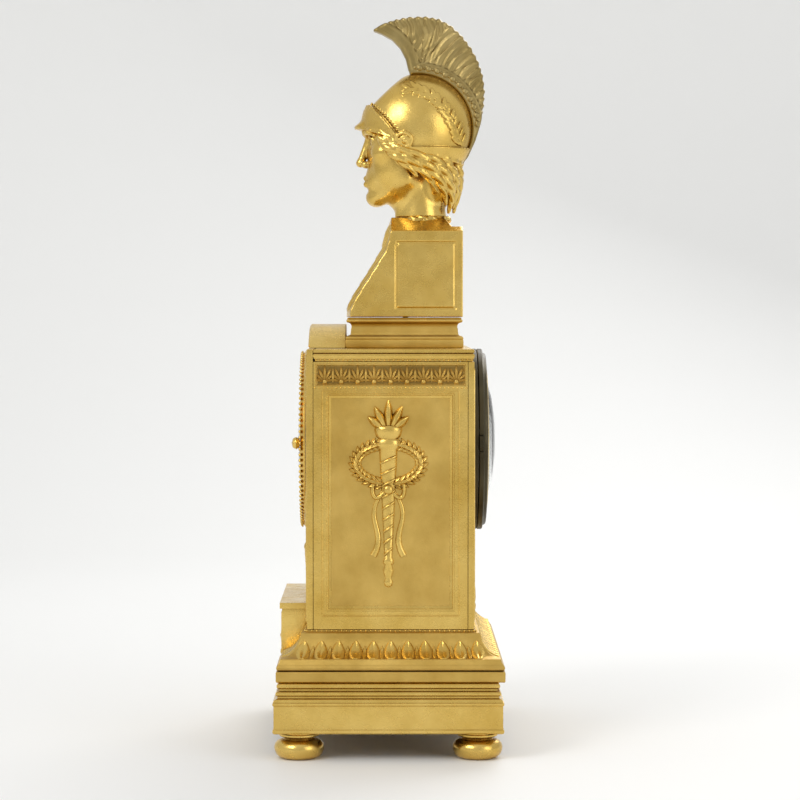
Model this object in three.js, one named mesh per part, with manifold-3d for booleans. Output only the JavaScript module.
// Gilt-bronze mantel clock: a case on a stepped base with a helmeted bust on top, and the spring-driven
// striking movement, pendulum and bell that it holds. Millimetres, +Z up, dial towards -Y.
// The origin is under the middle of the plinth, at the height of the surface that the clock stands on.
import * as THREE from "three";
import { mergeVertices } from "three/addons/utils/BufferGeometryUtils.js";
import Module from "manifold-3d";

const wasm = await Module();
wasm.setup();

// ---------------------------------------------------------------- driving dimensions
const GAP = 0.3; // left between pieces that touch
const FOOT = { radius: 16.5, height: 18, inset: 0.5 };
const PLINTH = { halfX: 120, halfY: 76, top: 51 };
const CASE = { halfX: 95, front: -54, back: 57, bottom: 84, top: 270, wall: 4 };
const CASE_MID_Y = (CASE.front + CASE.back) / 2;
const CASE_HALF_Y = (CASE.back - CASE.front) / 2;
const TOP_SLAB = 8; // thickness of the cornice slab
const DIAL_Z = 206; // height of the hands' axis
const BEZEL = { outer: 62, inner: 54, depth: 3.5 };
const DIAL = { radius: 52.6, face: -49.5, thickness: 1.5 };
const WINDING = { x: 20, z: -13.5 }; // winding arbors, from the hands' axis
const PLATE = { radius: 42, front: -38, back: 0, thickness: 2 };
const SUSPENSION_Z = 38; // pallet arbor and suspension, above the hands' axis
const PENDULUM_LENGTH = 120;
const PENDULUM_Y = 12;
const BELL = { radius: 40, mouth: 46, crown: 66, wall: 1.8 };
const REAR_RING = { outer: 63, inner: 52.2, front: CASE.back + GAP, back: 61 };
const REAR_DOOR = { outer: 63, glass: 43, front: 61.3, back: 68.5, dome: 74.5 };
const BEZEL_HINGE = { x: -BEZEL.outer - 1.9, y: -58, reach: -BEZEL.outer + 1.4 };
const REAR_HINGE = { x: -REAR_DOOR.outer - 2.2, y: 63.2, reach: -REAR_DOOR.outer + 2 };
const BUST = { halfX: 40, front: -29, back: 51, foot: 291, shoulder: 353, neck: 360 };
const HELMET = { radius: 37.5, y: 20.5, z: 422 };

// ---------------------------------------------------------------- materials
function finish(color, roughness, metalness) {
  return new THREE.MeshStandardMaterial({ color, roughness, metalness });
}
const gilt = finish(0xd9a441, 0.3, 1);
const matteGilt = finish(0xc8963c, 0.5, 1);
const brass = finish(0xc9a85a, 0.35, 1);
const steel = finish(0x8c9096, 0.3, 1);
const bluedSteel = finish(0x1c2748, 0.25, 1);
const darkBronze = finish(0x2a2318, 0.45, 1);
const bellMetal = finish(0xa9a18c, 0.3, 1);
const enamel = finish(0xf4f1e6, 0.15, 0);
const glass = finish(0xe8f0f0, 0.03, 0);

// ---------------------------------------------------------------- solids
// A closed geometry as a manifold-3d solid, for joining and cutting.
function solid(geometry) {
  const bare = geometry.clone();
  bare.deleteAttribute("normal");
  bare.deleteAttribute("uv");
  const merged = mergeVertices(bare, 1e-4);
  const mesh = new wasm.Mesh({
    numProp: 3,
    vertProperties: merged.attributes.position.array,
    triVerts: new Uint32Array(merged.index.array),
  });
  return new wasm.Manifold(mesh);
}

function geometryOf(made) {
  const mesh = made.getMesh();
  const geometry = new THREE.BufferGeometry();
  geometry.setAttribute("position", new THREE.BufferAttribute(mesh.vertProperties, 3));
  geometry.setIndex(new THREE.BufferAttribute(mesh.triVerts, 1));
  geometry.computeVertexNormals();
  return geometry;
}

const join = (first, ...rest) => rest.reduce((all, next) => all.add(next), first);
const cut = (first, ...rest) => rest.reduce((all, next) => all.subtract(next), first);

function slab(x0, x1, y0, y1, z0, z1) {
  const box = new THREE.BoxGeometry(x1 - x0, y1 - y0, z1 - z0);
  return solid(box.translate((x0 + x1) / 2, (y0 + y1) / 2, (z0 + z1) / 2));
}

// A round bar along Y.
function bar(radius, y0, y1, x = 0, z = 0, sides = 12) {
  const cylinder = new THREE.CylinderGeometry(radius, radius, y1 - y0, sides);
  return solid(cylinder.translate(x, (y0 + y1) / 2, z));
}

// A round bar along Z.
function post(radius, z0, z1, x = 0, y = 0, sides = 12) {
  const cylinder = new THREE.CylinderGeometry(radius, radius, z1 - z0, sides);
  return solid(cylinder.rotateX(Math.PI / 2).translate(x, y, (z0 + z1) / 2));
}

const ring = (outer, inner, y0, y1, sides = 36) =>
  cut(bar(outer, y0, y1, 0, 0, sides), bar(inner, y0 - 1, y1 + 1, 0, 0, sides));

// An outline in X and Z, drawn as [x, z] points, as a plate from y0 to y1.
function plate(points, y0, y1) {
  const shape = new THREE.Shape(points.map(([x, z]) => new THREE.Vector2(x, z)));
  const raised = new THREE.ExtrudeGeometry(shape, { depth: y1 - y0, bevelEnabled: false });
  return solid(raised.rotateX(Math.PI / 2).translate(0, y1, 0));
}

// An outline in Y and Z, drawn as [y, z] points, as a plate from x0 to x1.
function cheek(points, x0, x1) {
  const shape = new THREE.Shape(points.map(([y, z]) => new THREE.Vector2(y, z)));
  const raised = new THREE.ExtrudeGeometry(shape, { depth: x1 - x0, bevelEnabled: false });
  raised.rotateX(Math.PI / 2).rotateZ(Math.PI / 2);
  return solid(raised.translate(x0, 0, 0));
}

// A profile of [radius, height] points turned round: from the axis to the axis, or closed on itself.
function turned(profile, sides, upright) {
  const whole = profile[0][0] > 0 ? [...profile, profile[0]] : profile;
  const points = whole.map(([radius, height]) => new THREE.Vector2(radius, height));
  const lathe = new THREE.LatheGeometry(points, sides);
  const made = solid(upright ? lathe.rotateX(Math.PI / 2) : lathe);
  return made.volume() < 0 ? turned([...whole].reverse(), sides, upright) : made;
}

const turnedAboutY = (profile, sides = 36) => turned(profile, sides, false);
const turnedAboutZ = (profile, sides = 18) => turned(profile, sides, true);

// A closed profile of [outwards, z] points carried round a rectangle, with mitred corners.
function mitredFrame(profile, halfX, halfY, midY = 0) {
  const corners = [[-1, -1], [1, -1], [1, 1], [-1, 1]];
  const position = [];
  for (const [outwards, z] of profile)
    for (const [sx, sy] of corners)
      position.push(sx * (halfX + outwards), midY + sy * (halfY + outwards), z);
  const index = [];
  profile.forEach((_, i) => {
    const below = 4 * i;
    const above = 4 * ((i + 1) % profile.length);
    for (let k = 0; k < 4; k++) {
      const next = (k + 1) % 4;
      index.push(below + k, below + next, above + next, below + k, above + next, above + k);
    }
  });
  const geometry = new THREE.BufferGeometry();
  geometry.setAttribute("position", new THREE.Float32BufferAttribute(position, 3));
  geometry.setIndex(index);
  const made = solid(geometry);
  return made.volume() < 0 ? mitredFrame([...profile].reverse(), halfX, halfY, midY) : made;
}

// Points along an arc, as [a, b] pairs; angles in degrees.
function arc(centreA, centreB, radius, from, to, steps) {
  const points = [];
  for (let i = 0; i <= steps; i++) {
    const angle = THREE.MathUtils.degToRad(from + ((to - from) * i) / steps);
    points.push([centreA + radius * Math.cos(angle), centreB + radius * Math.sin(angle)]);
  }
  return points;
}

// ---------------------------------------------------------------- scene graph
const clock = new THREE.Group();
const movement = new THREE.Group(); // its origin is on the hands' axis
movement.position.z = DIAL_Z;
clock.add(movement);

function add(name, made, material, group = clock) {
  const mesh = new THREE.Mesh(geometryOf(made), material);
  mesh.name = name;
  group.add(mesh);
  return mesh;
}

// ---------------------------------------------------------------- base
function foot() {
  const { radius, height } = FOOT;
  return turnedAboutZ([
    [0, 0], [radius - 5, 0], [radius - 1, 3.5], [radius, 7], [radius - 1.5, 11],
    [radius - 6, 13.5], [radius - 3, height - 1.5], [radius - 3, height - GAP], [0, height - GAP],
  ]);
}

function buildBase() {
  for (const [side, sx] of [["left", -1], ["right", 1]])
    for (const [end, sy] of [["front", -1], ["rear", 1]]) {
      const mesh = add(`foot_${end}_${side}`, foot(), gilt);
      mesh.position.x = sx * (PLINTH.halfX - FOOT.radius - FOOT.inset);
      mesh.position.y = sy * (PLINTH.halfY - FOOT.radius - FOOT.inset);
    }

  const shelf = 4; // thickness of the plinth's top
  const plinth = mitredFrame(
    [
      [0, FOOT.height], [0, 38], [-2, 40], [-2, 43], [-4, 45], [-4, PLINTH.top],
      [-32, PLINTH.top], [-32, PLINTH.top - shelf], [-9, PLINTH.top - shelf], [-5, 36], [-5, FOOT.height],
    ],
    PLINTH.halfX, PLINTH.halfY,
  );
  const lugs = [-1, 1].map((s) => slab(s * 86 - 7, s * 86 + 7, -7, 7, PLINTH.top - 7, PLINTH.top - 1));
  const bores = [-1, 1].map((s) => post(2, PLINTH.top - 9, PLINTH.top + 1, s * 86, 0, 12));
  add("plinth", cut(join(plinth, ...lugs), ...bores), gilt);

  // The side moulding sweeps in from the plinth to the case in a hollow curve.
  const sweep = arc(19, 84, 17, 180, 270, 6).map(([out, z]) => [out, z - 4]);
  const moulding = mitredFrame(
    [
      [20, PLINTH.top + GAP], [20, 60], ...sweep.reverse(), [2, CASE.bottom - GAP],
      [-CASE.wall, CASE.bottom - GAP], [-CASE.wall, 76], [12, 60], [14, PLINTH.top + GAP],
    ],
    CASE.halfX, CASE_HALF_Y, CASE_MID_Y,
  );
  const room = slab(-60 - GAP, 60 + GAP, -90, CASE.front - 2, 50, 90);
  add("base_moulding", cut(moulding, room), matteGilt);

  // A projecting block under the dial, open at the back, carries the front relief.
  const block = cut(
    slab(-60, 60, -72, CASE.front - 2 - GAP, PLINTH.top + GAP, 98),
    slab(-56, 56, -68, CASE.front, PLINTH.top, 94),
  );
  const cap = slab(-62, 62, -73.5, CASE.front - GAP, 94, 98);
  add("front_block", join(block, cap), gilt);
}

// ---------------------------------------------------------------- case
function buildCase() {
  const { halfX, front, back, bottom, top, wall } = CASE;
  const underTop = top - TOP_SLAB - GAP;
  const dialHole = bar(BEZEL.inner + 1.2, front - 5, front + 9, 0, DIAL_Z, 48);
  const rearHole = bar(REAR_RING.inner + 0.5, back - 9, back + 5, 0, DIAL_Z, 48);
  add("case_front", cut(slab(-halfX, halfX, front, front + wall, bottom, top), dialHole), gilt);
  add("case_back", cut(slab(-halfX, halfX, back - wall, back, bottom, underTop), rearHole), gilt);

  const y0 = front + wall + GAP;
  const y1 = back - wall - GAP;
  for (const [side, s] of [["left", -1], ["right", 1]]) {
    const inner = s * (halfX - wall);
    const [x0, x1] = [Math.min(inner, s * halfX), Math.max(inner, s * halfX)];
    const outside = s > 0 ? [x1 - 1.5, x1 + 1] : [x0 - 1, x0 + 1.5];
    const field = slab(...outside, y0 + 12, y1 - 12, bottom + 16, 240); // sunk panel
    add(`case_side_${side}`, cut(slab(x0, x1, y0, y1, bottom, underTop), field), gilt);
  }

  const lid = slab(-halfX, halfX, front + wall + GAP, back, top - TOP_SLAB, top);
  const boltHole = post(2.2, top - 20, top + 5, 0, 12, 12);
  add("case_top", cut(lid, boltHole), gilt);

  // The arched pediment stands over the dial and follows the bezel's curve.
  const rise = 80;
  const reach = Math.sqrt(rise ** 2 - (top - DIAL_Z) ** 2);
  const half = THREE.MathUtils.radToDeg(Math.asin(reach / rise));
  const outline = arc(0, DIAL_Z, rise, 90 - half, 90 + half, 14).map(([x, z]) => [x, z + GAP]);
  add("front_pediment", plate(outline, front + 0.5, BUST.front - GAP), gilt);

  for (const [side, s] of [["left", -1], ["right", 1]]) {
    const rod = join(
      post(1.7, 34, underTop - GAP, s * 86, 0, 10),
      post(3.6, 38, PLINTH.top - 7 - GAP, s * 86, 0, 6),
    );
    add(`tie_rod_${side}`, rod, steel);
  }
}

// Relief mounts: a torch through a laurel wreath on each side, a laurel swag under the dial.
function buildMounts() {
  const wreath = (outerY, outerZ, depth) => {
    const oval = new THREE.CylinderGeometry(1, 1, depth, 28).rotateZ(Math.PI / 2);
    return solid(oval.scale(1, outerY, outerZ));
  };
  const torchProfile = [
    [-2, 112], [2, 112], [4.5, 200], [8, 206], [5.5, 211], [8, 224], [3, 237],
    [-3, 237], [-8, 224], [-5.5, 211], [-8, 206], [-4.5, 200],
  ];
  for (const [side, s] of [["left", -1], ["right", 1]]) {
    const face = s * (CASE.halfX - 1.5 + GAP);
    const [x0, x1] = [Math.min(face, face + s * 5), Math.max(face, face + s * 5)];
    const hoop = cut(wreath(24.5, 16, 4), wreath(17.5, 9.5, 6)).translate([(x0 + x1) / 2, 0, 194]);
    add(`side_mount_${side}`, join(cheek(torchProfile, x0, x1), hoop), gilt);
  }
  const garland = [...arc(0, 176, 66, 222, 318, 12), ...arc(0, 176, 56, 318, 222, 12)];
  add("front_mount", plate(garland, CASE.front - GAP - 4, CASE.front - GAP), gilt);
}

// ---------------------------------------------------------------- bust
function buildBust() {
  const socle = mitredFrame(
    [
      [0, CASE.top + GAP], [0, 276], [-3, 279], [-3, 286], [-1, 288], [-1, BUST.foot - GAP],
      [-30, BUST.foot - GAP], [-30, CASE.top + GAP],
    ],
    45, 40, 11,
  );
  add("bust_socle", socle, gilt);

  const { halfX, front, back, foot, shoulder, neck } = BUST;
  const chest = cheek(
    [
      [front, foot], [back, foot], [back, shoulder], [43, shoulder], [40, neck],
      [4, neck], [0, 350], [-3, 338], [-12, 324], [-21, 310], [front, 296],
    ],
    -halfX, halfX,
  );
  const slope = plate([[-60, 380], [-60, 339], [-17, neck + 1], [-17, 380]], -60, 80);
  const room = slab(-halfX + 6, halfX - 6, -8, back - 6, foot - 1, 328);
  const bore = post(2.2, foot - 10, 345, 0, 12, 12);
  add("bust_chest", cut(chest, slope, slope.mirror([1, 0, 0]), bore, room), gilt);

  const ball = (rx, ry, rz, y, z) => {
    const round = new THREE.SphereGeometry(1, 20, 12).rotateX(Math.PI / 2);
    return solid(round.scale(rx, ry, rz).translate(0, y, z));
  };
  const throat = post(17.5, neck + GAP, 392, 0, 22, 20);
  const skull = ball(25.5, 27, 36, 17, 408);
  const jaw = ball(15, 17, 15, 4, 386);
  const nose = cheek([[-9, 404], [-16, 391], [-9, 388]], -2.5, 2.5);
  const rim = [[-60, 437], [60, 392]]; // the helmet's lower edge, front to back
  const aboveRim = cheek([...rim, [60, 500], [-60, 500]], -60, 60);
  const belowRim = cheek([...rim, [60, 340], [-60, 340]], -60, 60).translate([0, 0, GAP]);
  add("bust_head", cut(join(throat, skull, jaw, nose), aboveRim), gilt);

  const dome = cut(ball(31, HELMET.radius, HELMET.radius, HELMET.y, HELMET.z), belowRim);
  const visorSection = [[-20, 418], [-20, 425], [-16, 434], [-6, 446], [8, 446], [8, 410]];
  const visor = cut(cheek(visorSection, -21, 21), belowRim);
  const seat = cheek(crestOutline(HELMET.radius - 2 - GAP), -6.8, 6.8);
  const shifted = [seat.translate([0, -GAP, 0]), seat.translate([0, 0, -GAP])];
  add("helmet", cut(join(dome, visor), seat, ...shifted), gilt);
  add("helmet_crest", cheek(crestOutline(HELMET.radius - 2), -6.5, 6.5), matteGilt);

  const underTop = CASE.top - TOP_SLAB - GAP;
  const bolt = join(post(1.9, underTop - 7, 340, 0, 12, 10), post(5, underTop - 4, underTop, 0, 12, 6));
  add("bust_bolt", bolt, steel);
}

// The crest in side view: a crescent that curls forward over the brow and falls to the nape,
// seated on the helmet along an arc of the given radius.
function crestOutline(seat) {
  const back = [
    [-10, 491], [0, 497], [13, 499.6], [28, 500], [42, 494], [52, 485], [60, 474], [65, 462],
    [67.4, 449], [66.4, 437], [63, 424], [59, 411], [54, 400], [47, 392],
  ];
  const front = [[14, 464], [11, 472], [7, 479], [-1, 485], [-10, 489.4]];
  return [...back, ...arc(HELMET.y, HELMET.z, seat, -52, 100, 14), ...front];
}

// ---------------------------------------------------------------- gears
// Teeth are points with deep valleys, so that meshed wheels run clear of each other.
// pitchRadius = module * teeth / 2, and phase is the angle of one tooth from +X towards +Z.
function gear({ teeth, module: size, y0, y1, phase = 0, bore = 0 }) {
  const pitch = (size * teeth) / 2;
  const points = [];
  for (let i = 0; i < teeth; i++)
    for (const [half, radius] of [[0, pitch + 0.55 * size], [0.5, pitch - 1.15 * size]]) {
      const angle = phase + ((i + half) / teeth) * 2 * Math.PI;
      points.push([radius * Math.cos(angle), radius * Math.sin(angle)]);
    }
  const blank = plate(points, y0, y1);
  return bore ? cut(blank, bar(bore, y0 - 1, y1 + 1, 0, 0, 10)) : blank;
}

// Windows between four spokes.
function crossing(rim, hub, y0, y1) {
  const band = ring(rim, hub, y0 - 1, y1 + 1, 20);
  const spokes = [0, 90].map((turn) =>
    slab(-rim - 1, rim + 1, y0 - 2, y1 + 2, -1, 1).rotate([0, turn + 45, 0]),
  );
  return cut(band, ...spokes);
}

// The phase that puts a tooth of the second gear in a valley of the first, at rest.
function meshPhase(first, firstAt, second, secondAt) {
  const towards = Math.atan2(secondAt[1] - firstAt[1], secondAt[0] - firstAt[0]);
  const share = ((towards - (first.phase ?? 0)) * first.teeth) / (2 * Math.PI);
  return towards + Math.PI - ((0.5 - share) * 2 * Math.PI) / second.teeth;
}

const pitchRadius = ({ teeth, module: size }) => (teeth * size) / 2;

// The point at distances a from A and b from B; turn chooses the side of the line from A to B.
function twoDistances(A, a, B, b, turn) {
  const base = Math.hypot(B[0] - A[0], B[1] - A[1]);
  const angle = Math.atan2(B[1] - A[1], B[0] - A[0]);
  const open = Math.acos((a * a + base * base - b * b) / (2 * a * base));
  return [A[0] + a * Math.cos(angle + turn * open), A[1] + a * Math.sin(angle + turn * open)];
}

const GREAT = { teeth: 48, module: 0.75, y0: -24, y1: -22.4 };
const GREAT_PINION = { teeth: 8, module: 0.75, y0: -25, y1: -21.6 };
const MIDDLE = { teeth: 40, module: 0.7, y0: -28.6, y1: -27.4 };
const MIDDLE_PINION = { teeth: 8, module: 0.7, y0: -29.6, y1: -26.6 };
const CENTRE = { teeth: 72, module: 0.42, y0: -33.2, y1: -32.2 };
const CENTRE_PINION = { teeth: 6, module: 0.42, y0: -34.4, y1: -31.2 };
const THIRD = { teeth: 72, module: 0.36, y0: -18, y1: -17 };
const THIRD_PINION = { teeth: 6, module: 0.36, y0: -19.5, y1: -15.5 };
const STRIKE = { teeth: 60, module: 0.36, y0: -29, y1: -28 };
const FLY_PINION = { teeth: 6, module: 0.36, y0: -30.5, y1: -26.5 };
const CANNON = { teeth: 12, module: 0.5, y0: -41, y1: -39 };
const CANNON_PIPE = { inner: 0.95, outer: 1.4, front: -54.4 };
const MINUTE = { teeth: 36, module: 0.5, y0: -40.6, y1: -39.4 };
const MINUTE_PINION = { teeth: 10, module: 0.48, y0: -44, y1: -40.5 };
const HOUR = { teeth: 40, module: 0.48, y0: -43.4, y1: -42.2 };

const between = (wheel, pinion) => pitchRadius(wheel) + pitchRadius(pinion);
const AT_CENTRE = [0, 0];
const AT_GOING = [WINDING.x, WINDING.z];
const AT_STRIKE = [-WINDING.x, WINDING.z];
const AT_MIDDLE = twoDistances(
  AT_CENTRE, between(MIDDLE, MIDDLE_PINION), AT_GOING, between(GREAT, GREAT_PINION), 1,
);
const AT_ESCAPE = [0, 27];
const AT_THIRD = twoDistances(
  AT_CENTRE, between(CENTRE, CENTRE_PINION), AT_ESCAPE, between(THIRD, THIRD_PINION), 1,
);
const AT_STRIKE_WHEEL = [-26, WINDING.z + Math.sqrt(between(GREAT, GREAT_PINION) ** 2 - 36)];
const FLY_TURN = THREE.MathUtils.degToRad(70);
const AT_FLY = [
  AT_STRIKE_WHEEL[0] + between(STRIKE, FLY_PINION) * Math.cos(FLY_TURN),
  AT_STRIKE_WHEEL[1] + between(STRIKE, FLY_PINION) * Math.sin(FLY_TURN),
];
const AT_MINUTE = [0, between(MINUTE, CANNON)];
const AT_HAMMER = [36, 6];
const inFront = PLATE.front + PLATE.thickness + GAP; // inner face of the front plate
const inBack = PLATE.back - GAP; // inner face of the back plate

function place(mesh, [x, z]) {
  mesh.position.x = x;
  mesh.position.z = z;
}

// ---------------------------------------------------------------- hinges
// A door's knuckle turns on an upright pin that two knuckles on the fixed ring hold, above and below.
const KNUCKLE = { radius: 1.8, bore: 1.05, pin: 0.8, half: 5, fixed: 5 };

function doorKnuckle({ x, y, reach }) {
  const { radius, bore, half } = KNUCKLE;
  const body = join(post(radius, -half, half, x, y), slab(x, reach, y - 1, y + 1, -half, half));
  return cut(body, post(bore, -half - 1, half + 1, x, y, 10));
}

function fixedKnuckles({ x, y, reach }, ringFront, ringBack) {
  const { radius, pin, half, fixed } = KNUCKLE;
  const pieces = [post(pin, -half - 2, half + 2, x, y, 10)];
  for (const s of [-1, 1]) {
    const [z0, z1] = s > 0 ? [half + GAP, half + fixed] : [-half - fixed, -half - GAP];
    pieces.push(post(radius, z0, z1, x, y));
    pieces.push(slab(x - 1.2, x + 1.2, Math.min(y, ringFront), Math.max(y, ringBack), z0, z1));
    pieces.push(slab(x - 1.2, reach, ringFront, ringBack, z0, z1));
  }
  return pieces;
}

// ---------------------------------------------------------------- movement: fixed pieces
function buildFrame() {
  const { radius, front, back, thickness } = PLATE;
  const hole = (r, [x, z], y) => bar(r, y - 1, y + thickness + 1, x, z, 12);
  const ears = slab(-48.7, 48.7, front, front + thickness, -6, 6);
  const pillars = [[32, 22], [-29, 26], [17.5, -34.8], [-17.5, -34.8]].map(([x, z]) =>
    bar(2.6, front + 1, back - GAP, x, z, 10),
  );
  const cushions = [
    hole(1.5, AT_CENTRE, front), hole(2.7, AT_GOING, front), hole(2.7, AT_STRIKE, front),
  ];
  const face = join(bar(radius, front, front + thickness, 0, 0, 48), ears, ...pillars);
  const stud = bar(1, -44.6, front + 0.5, ...AT_MINUTE, 10);
  add("movement_front_plate", join(cut(face, ...cushions), stud), brass, movement);

  const behind = [
    hole(1.3, [0, SUSPENSION_Z], back), hole(1.3, AT_STRIKE_WHEEL, back), hole(1.3, AT_HAMMER, back),
  ];
  const backPlate = cut(bar(radius, back, back + thickness, 0, 0, 48), ...behind);
  add("movement_back_plate", backPlate, brass, movement);

  const cock = join(
    slab(-12, -8, 2 + GAP, 9, 32, 38),
    slab(8, 12, 2 + GAP, 9, 32, 38),
    slab(-12, 12, 9, 10.6, 32, 46),
    slab(-3, 3, 10, 14, 42, 46),
  );
  add("suspension_cock", cut(cock, bar(1.2, 5, 12, 0, SUSPENSION_Z, 10)), brass, movement);
  add("suspension_spring", slab(-1.5, 1.5, 11.8, 12.2, 34.3, 42 - GAP), steel, movement);

  const stand = join(
    bar(2.6, 2 + GAP, 38, 14, -26, 12),
    plate([[16.5, -27], [2.4, 1], [-2.4, -1], [11.5, -27]], 34, 38),
    bar(2.2, 34, 69.5, 0, 0, 12),
    bar(4.2, BELL.crown + GAP, BELL.crown + 2.4, 0, 0, 6),
  );
  add("bell_stand", stand, steel, movement);
  const { radius: r, mouth, crown, wall } = BELL;
  const outside = [[r, mouth], [r - 2.5, mouth + 10], [r - 12, crown - 2.6], [14, crown]];
  const inside = [...outside].reverse().map(([a, y]) => [a > 20 ? a - wall : a, y - (a > 20 ? 0.9 : wall)]);
  inside[inside.length - 1] = [r - wall, mouth];
  const cup = turnedAboutY([...outside, [2.6, crown], [2.6, crown - wall], ...inside], 28);
  add("bell", cup, bellMetal, movement);
}

function buildDial() {
  const { radius, face, thickness } = DIAL;
  const holes = [bar(3, face - 1, face + 3, 0, 0, 20)];
  for (const x of [-WINDING.x, WINDING.x]) holes.push(bar(3.4, face - 1, face + 3, x, WINDING.z, 20));
  add("dial_plate", cut(bar(radius, face, face + thickness, 0, 0, 48), ...holes), enamel, movement);

  // The bezel seat is riveted to the two straps that carry the movement and reach the rear ring.
  const seat = join(
    ring(BEZEL.outer, radius + GAP, CASE.front - 1.8, CASE.front - GAP),
    ring(BEZEL.inner + 0.8, radius + GAP, CASE.front - 1, -43),
  );
  const across = (x0, x1, y0, y1) => [
    slab(x0, x1, y0, y1, -5, 5), slab(-x1, -x0, y0, y1, -5, 5),
  ];
  const straps = [
    ...across(49, 51, -47, 56), ...across(49, 53.6, -47, -44),
    ...[-49.4, 49.4].map((x) => bar(2.2, 55, REAR_RING.back - 2.6, x, 0, 10)),
  ];
  const frontKnuckles = fixedKnuckles(BEZEL_HINGE, CASE.front - 1.8, CASE.front - GAP);
  add("bezel_seat_and_straps", join(seat, ...straps, ...frontKnuckles), gilt, movement);
  const rear = join(
    ring(REAR_RING.outer, REAR_RING.inner, REAR_RING.front, REAR_RING.back),
    ...[-1, 1].map((s) => slab(s * 50.5 - 3.5, s * 50.5 + 3.5, REAR_RING.back - 2.2, REAR_RING.back, -5, 5)),
    ...fixedKnuckles(REAR_HINGE, REAR_RING.back - 2, REAR_RING.back),
  );
  add("rear_ring", rear, darkBronze, movement);
}

// ---------------------------------------------------------------- movement: doors
function buildDoors() {
  const { outer, inner, depth } = BEZEL;
  const y1 = CASE.front - 1.8 - GAP;
  const y0 = y1 - depth;
  const section = [
    [outer, y1], [outer, y1 - 1.2], [outer - 3, y0], [inner + 2, y0], [inner, y1 - 1.6], [inner, y1],
  ];
  add("bezel_ring", join(turnedAboutY(section), doorKnuckle(BEZEL_HINGE)), gilt, movement);
  const rim = inner - GAP;
  const sag = 5.2; // rise of the domed glass
  const dome = (lift) => {
    const radius = (rim ** 2 + sag ** 2) / (2 * sag);
    const points = [];
    for (let i = 0; i <= 4; i++) {
      const r = (rim * i) / 4;
      points.push([r, y1 - lift - (Math.sqrt(radius ** 2 - r ** 2) - (radius - sag))]);
    }
    return points;
  };
  add("bezel_glass", turnedAboutY([...dome(1.6), ...dome(0.2).reverse()]), glass, movement);
  const grip = [
    [0, -65.5], [3.2, -64.5], [4.2, -62.4], [3.2, -60.4], [1.6, -59.6], [1.6, y0 - GAP], [0, y0 - GAP],
  ];
  place(add("bezel_knob", turnedAboutY(grip, 14), gilt, movement), [outer - 4.2, 0]);

  const { outer: R, glass: r, front, back, dome: apex } = REAR_DOOR;
  const frameSection = [
    [R, front], [R, back - 2.5], [R - 3, back], [r + 3, back],
    [r, back - 2], [r, front + 2], [R - 8, front + 2], [R - 8, front],
  ];
  const tab = slab(R - 2, R + 4, front, front + 1.6, -4, 4);
  const frameRing = join(turnedAboutY(frameSection), doorKnuckle(REAR_HINGE), tab);
  add("rear_door_ring", frameRing, darkBronze, movement);
  const domeBack = (lift, edge) => {
    const points = [];
    for (let i = 0; i <= 4; i++) {
      const t = (i / 4) * (Math.PI / 2);
      points.push([edge * Math.sin(t), back - 3.2 + (apex - back + 3.2 - lift) * Math.cos(t)]);
    }
    return points;
  };
  const domeSection = [...domeBack(0, r - GAP), ...domeBack(1.6, r - GAP - 1.6).reverse()];
  add("rear_door_glass", turnedAboutY(domeSection), glass, movement);
}

// ---------------------------------------------------------------- movement: trains
function arbor(y0, y1, radius = 1) {
  return bar(radius, y0, y1, 0, 0, 10);
}

function buildGoingTrain() {
  // The cannon pinion sits over the thin front end of the centre arbor and slips on it to set the hands.
  const centreWheel = cut(gear(CENTRE), crossing(12.6, 4, CENTRE.y0, CENTRE.y1));
  const driving = { ...MIDDLE_PINION, phase: meshPhase(MIDDLE, AT_MIDDLE, MIDDLE_PINION, AT_CENTRE) };
  const shaft = join(arbor(PLATE.front - GAP, inBack, 1.1), arbor(CANNON_PIPE.front - 0.4, PLATE.front, 0.8));
  const centre = join(shaft, centreWheel, gear(driving));
  add("centre_arbor", centre, brass, movement);

  const thirdPinion = { ...CENTRE_PINION, phase: meshPhase(CENTRE, AT_CENTRE, CENTRE_PINION, AT_THIRD) };
  const thirdWheel = cut(gear(THIRD), crossing(10.6, 3.6, THIRD.y0, THIRD.y1));
  const third = join(arbor(inFront, inBack, 0.7), thirdWheel, gear(thirdPinion));
  place(add("third_wheel", third, brass, movement), AT_THIRD);

  const escapePinion = { ...THIRD_PINION, phase: meshPhase(THIRD, AT_THIRD, THIRD_PINION, AT_ESCAPE) };
  const teeth = [];
  for (let i = 0; i < 36; i++)
    for (const [share, radius] of [[0, 9], [0.75, 7.4]]) {
      const angle = ((i + share) / 36) * 2 * Math.PI;
      teeth.push([radius * Math.cos(angle), radius * Math.sin(angle)]);
    }
  const escapeWheel = cut(plate(teeth, -10, -9), crossing(6.4, 2.2, -10, -9));
  const escape = join(arbor(inFront, inBack, 0.6), escapeWheel, gear(escapePinion));
  place(add("escape_wheel", escape, brass, movement), AT_ESCAPE);

  const middlePinion = { ...GREAT_PINION, phase: meshPhase(GREAT, AT_GOING, GREAT_PINION, AT_MIDDLE) };
  const middleWheel = cut(gear(MIDDLE), crossing(11.4, 4, MIDDLE.y0, MIDDLE.y1));
  const intermediate = join(arbor(inFront, inBack), middleWheel, gear(middlePinion));
  place(add("intermediate_wheel", intermediate, brass, movement), AT_MIDDLE);
}

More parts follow.
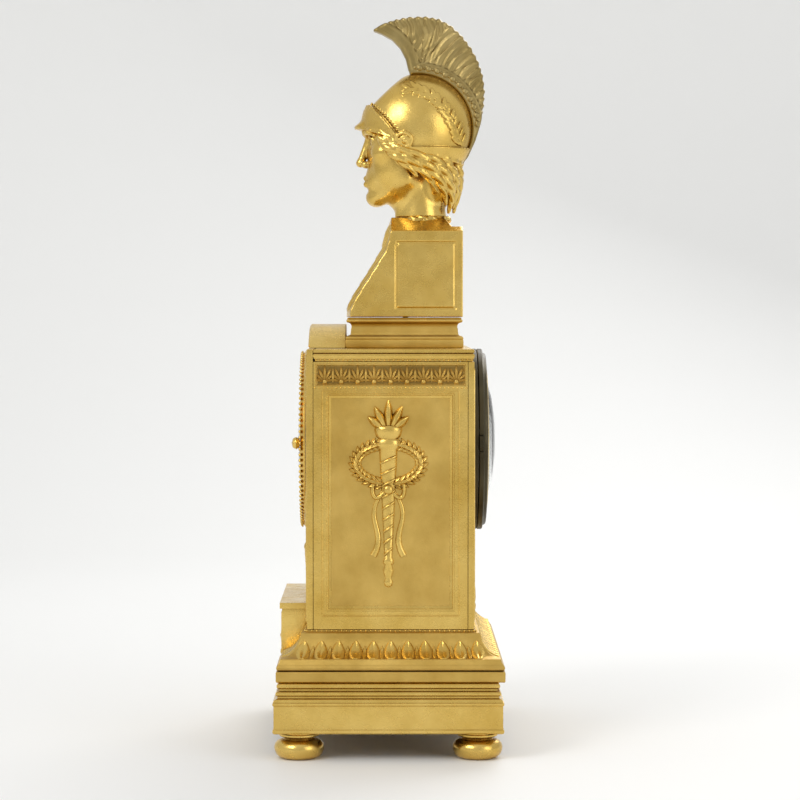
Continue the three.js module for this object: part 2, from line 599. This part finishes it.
// A spring barrel with its great wheel, its coiled spring, and the winding arbor with its ratchet.
function buildBarrel(side, at) {
  const drum = join(
    gear({ ...GREAT, bore: 2.6 }),
    cut(ring(15.5, 2.6, GREAT.y1 - 0.2, -4, 32), ring(14.5, 4.2, GREAT.y1 + 0.8, -3, 32)),
  );
  place(add(`${side}_barrel`, drum, brass, movement), at);

  const turns = 3.5;
  const steps = 35;
  const spiral = (offset) => {
    const points = [];
    for (let i = 0; i <= steps; i++) {
      const angle = (i / steps) * turns * 2 * Math.PI;
      const radius = 6 + (7.4 * i) / steps + offset;
      points.push([radius * Math.cos(angle), radius * Math.sin(angle)]);
    }
    return points;
  };
  const band = [...spiral(0.35), ...spiral(-0.35).reverse()];
  place(add(`${side}_mainspring`, plate(band, -20.4, -5.5), bluedSteel, movement), at);

  const ratchet = [];
  for (let i = 0; i < 20; i++)
    for (const [share, radius] of [[0, 6.6], [0.85, 5.2]]) {
      const angle = ((i + share) / 20) * 2 * Math.PI;
      ratchet.push([radius * Math.cos(angle), radius * Math.sin(angle)]);
    }
  const square = bar(2.1, -51, -45, 0, 0, 4);
  const wound = join(square, arbor(-46, inBack, 2.1), plate(ratchet, -40.2, -38.8));
  place(add(`${side}_winding_arbor`, wound, steel, movement), at);
}

function buildStrikeTrain() {
  const pinion = { ...GREAT_PINION, phase: meshPhase(GREAT, AT_STRIKE, GREAT_PINION, AT_STRIKE_WHEEL) };
  const pins = [];
  for (let i = 0; i < 8; i++) {
    const angle = (i / 8) * 2 * Math.PI;
    pins.push(bar(0.6, STRIKE.y0 - 3, STRIKE.y0 + 0.2, 8.4 * Math.cos(angle), 8.4 * Math.sin(angle), 6));
  }
  const wheel = join(arbor(inFront, 5.6), gear(STRIKE), gear(pinion), ...pins);
  place(add("strike_wheel", wheel, brass, movement), AT_STRIKE_WHEEL);

  // Twelve notches at growing spacings count out the blows.
  const total = 90;
  let blows = 0;
  const notches = [];
  for (let hour = 1; hour <= 12; hour++) {
    blows += hour + 1;
    const angle = (blows / total) * 360;
    notches.push(slab(11.2, 14, 3.6, 5.6, -0.5, 0.5).rotate([0, angle, 0]));
  }
  const count = cut(ring(13, 1.3, 4, 5.2, 48), ...notches);
  place(add("count_wheel", count, brass, movement), AT_STRIKE_WHEEL);

  const flyPinion = { ...FLY_PINION, phase: meshPhase(STRIKE, AT_STRIKE_WHEEL, FLY_PINION, AT_FLY) };
  const fly = join(arbor(inFront, inBack, 0.6), gear(flyPinion), slab(-7, 7, -14, -4, -0.4, 0.4));
  place(add("fly", fly, brass, movement), AT_FLY);

  const [hx, hz] = [-2.6, 22.4]; // hammer head, from its arbor
  const hammer = join(
    arbor(inFront, 41, 1),
    plate([[-2, -2], [2, -2], [hx + 1.2, hz], [hx - 1.2, hz]], 38, 40.6),
    bar(3, 38, 54, hx, hz, 14),
  );
  place(add("hammer", hammer, steel, movement), AT_HAMMER);
}

function buildHands() {
  const { face } = DIAL;
  const hand = (length, width, y) =>
    plate(
      [
        [-width / 2, -3], [width / 2, -3], [width / 3, length * 0.62], [width * 0.9, length * 0.72],
        [width / 3, length * 0.82], [0, length], [-width / 3, length * 0.82],
        [-width * 0.9, length * 0.72], [-width / 3, length * 0.62],
      ],
      y, y + 0.6,
    );
  const cannonPipe = bar(CANNON_PIPE.outer, CANNON_PIPE.front, CANNON.y1);
  const cannonBore = bar(CANNON_PIPE.inner, CANNON_PIPE.front - 1, CANNON.y1 + 1);
  add("cannon_pinion", cut(join(cannonPipe, gear(CANNON)), cannonBore), brass, movement);
  const pipe = ring(2.5, CANNON_PIPE.outer + GAP, -52.4, HOUR.y1, 12);
  const hourPhase = meshPhase(MINUTE_PINION, AT_MINUTE, HOUR, AT_CENTRE);
  add("hour_wheel", join(gear({ ...HOUR, phase: hourPhase, bore: 2 }), pipe), brass, movement);
  // The stored time is ten past ten.
  const toHour = (10 + 10 / 60) * 30;
  const toMinute = 60;
  const turn = (made, degrees) => made.rotate([0, degrees, 0]);
  const hub = ring(4.2, 2.8, face - 2.6, face - 2, 14);
  const hourHand = join(cut(hand(30, 3.6, face - 2.6), bar(3, -60, -40)), hub);
  add("hour_hand", turn(hourHand, toHour), bluedSteel, movement);
  const minuteHand = cut(join(hand(44, 2.8, -54.2), bar(3, -54.2, -53.6)), bar(CANNON_PIPE.outer + GAP, -60, -40));
  add("minute_hand", turn(minuteHand, toMinute), bluedSteel, movement);

  const minuteWheel = gear({ ...MINUTE, phase: meshPhase(CANNON, AT_CENTRE, MINUTE, AT_MINUTE), bore: 1.3 });
  const minutePinion = cut(gear(MINUTE_PINION), bar(1.3, -46, -38));
  place(add("minute_wheel", join(minuteWheel, minutePinion), brass, movement), AT_MINUTE);
}

// The anchor is held just clear of the escape wheel, so that it can swing with the wheel at any angle.
function buildPendulum() {
  const down = AT_ESCAPE[1] - SUSPENSION_Z;
  const claw = [...arc(0, down, 12.4, 28, 152, 10), ...arc(0, down, 10, 152, 28, 10)];
  const anchor = join(
    arbor(inFront, 10.2, 0.9),
    bar(1.6, -11, -8, 0, 0, 12),
    plate(claw, -11, -8),
    slab(-1, 1, 5, 6.4, -33, 0),
    slab(-3.4, 3.4, 5, 6.4, -34, -31),
    slab(-3.4, -1.7, 5, 15, -34, -31),
    slab(1.7, 3.4, 5, 15, -34, -31),
  );
  place(add("anchor_and_crutch", anchor, steel, movement), [0, SUSPENSION_Z]);

  const rod = join(
    post(0.9, -PENDULUM_LENGTH - 26, -4.2, 0, PENDULUM_Y, 10),
    slab(-2, 2, PENDULUM_Y - 1, PENDULUM_Y + 1, -8, -4),
    post(4, -PENDULUM_LENGTH - 23, -PENDULUM_LENGTH - 20, 0, PENDULUM_Y, 14),
  );
  place(add("pendulum_rod", rod, steel, movement), [0, SUSPENSION_Z]);
  const lens = [];
  for (let i = 0; i <= 6; i++) {
    const t = (i / 6) * Math.PI;
    lens.push([18 * Math.sin(t), -5 * Math.cos(t)]);
  }
  const bob = cut(turnedAboutY(lens, 24), post(1.2, -30, 30, 0, 0, 12))
    .translate([0, PENDULUM_Y, -PENDULUM_LENGTH]);
  place(add("pendulum_bob", bob, brass, movement), [0, SUSPENSION_Z]);
}

buildBase();
buildCase();
buildMounts();
buildBust();
buildDial();
buildFrame();
buildDoors();
buildGoingTrain();
buildBarrel("going", AT_GOING);
buildBarrel("strike", AT_STRIKE);
buildStrikeTrain();
buildHands();
buildPendulum();

export default clock;
